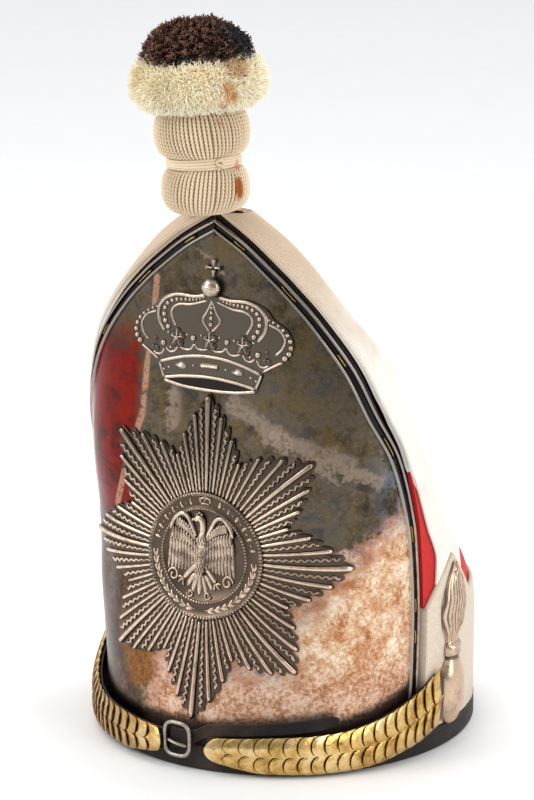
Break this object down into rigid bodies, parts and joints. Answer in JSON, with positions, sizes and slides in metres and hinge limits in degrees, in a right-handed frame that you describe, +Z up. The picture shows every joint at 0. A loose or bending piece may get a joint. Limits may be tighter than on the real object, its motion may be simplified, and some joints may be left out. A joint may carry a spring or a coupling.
{
  "type": "mitre cap",
  "caption": "Tall pointed military cap with a curved metal front plate, raised star and crown, red cloth bag, cloth cuff, scaled chin strap and wool pompom.",
  "frame": {"origin": "under the middle of the whole cap, on the surface that its rim stands on", "axes": "+Z up, the front plate faces -Y, +X is the wearer's left"},
  "size_m": [0.2042, 0.211, 0.3714],
  "materials": {
    "leather": "black leather, worn, with a dull sheen",
    "strap_leather": "black polished leather, creased",
    "plate_metal": "silvered sheet metal, polished once, with brown and pink tarnish",
    "relief_metal": "stamped and silvered metal, dark tarnish in the hollows",
    "red_cloth": "red wool broadcloth",
    "cuff_cloth": "off-white wool cloth, slightly soiled",
    "tape": "cream ribbed wool tape",
    "brass": "polished brass with brown tarnish in the laps",
    "buckle_metal": "bent wire, worn bright",
    "cord": "cream wool cord, wound, a little stained",
    "fur": "cream wool pile",
    "wool": "dark brown curly wool pile"
  },
  "bodies": {
    "root": {"leather_rim": "leather", "front_plate": "plate_metal", "plate_backing": "leather", "star": "relief_metal", "crown": "relief_metal", "bag": "red_cloth", "cuff": "cuff_cloth", "side_tape_left": "tape", "grenade_left": "relief_metal", "chin_strap_left": "strap_leather", "scale_left_1": "brass", "scale_left_2": "brass", "scale_left_3": "brass", "scale_left_4": "brass", "scale_left_5": "brass", "scale_left_6": "brass", "scale_left_7": "brass", "scale_left_8": "brass", "scale_left_9": "brass", "scale_left_10": "brass", "scale_left_11": "brass", "scale_left_12": "brass", "scale_left_13": "brass", "scale_left_14": "brass", "scale_left_15": "brass", "scale_left_16": "brass", "scale_left_17": "brass", "scale_left_18": "brass", "scale_left_19": "brass", "side_tape_right": "tape", "grenade_right": "relief_metal", "chin_strap_right": "strap_leather", "scale_right_1": "brass", "scale_right_2": "brass", "scale_right_3": "brass", "scale_right_4": "brass", "scale_right_5": "brass", "scale_right_6": "brass", "scale_right_7": "brass", "scale_right_8": "brass", "scale_right_9": "brass", "scale_right_10": "brass", "scale_right_11": "brass", "scale_right_12": "brass", "scale_right_13": "brass", "scale_right_14": "brass", "scale_right_15": "brass", "scale_right_16": "brass", "scale_right_17": "brass", "scale_right_18": "brass", "scale_right_19": "brass", "strap_tongue": "strap_leather", "buckle_frame": "buckle_metal", "buckle_prong": "buckle_metal", "pompom_lower_ball": "cord", "pompom_tie": "cord", "pompom_upper_ball": "cord", "fur_ring": "fur", "wool_top": "wool"}
  },
  "joints": []
}
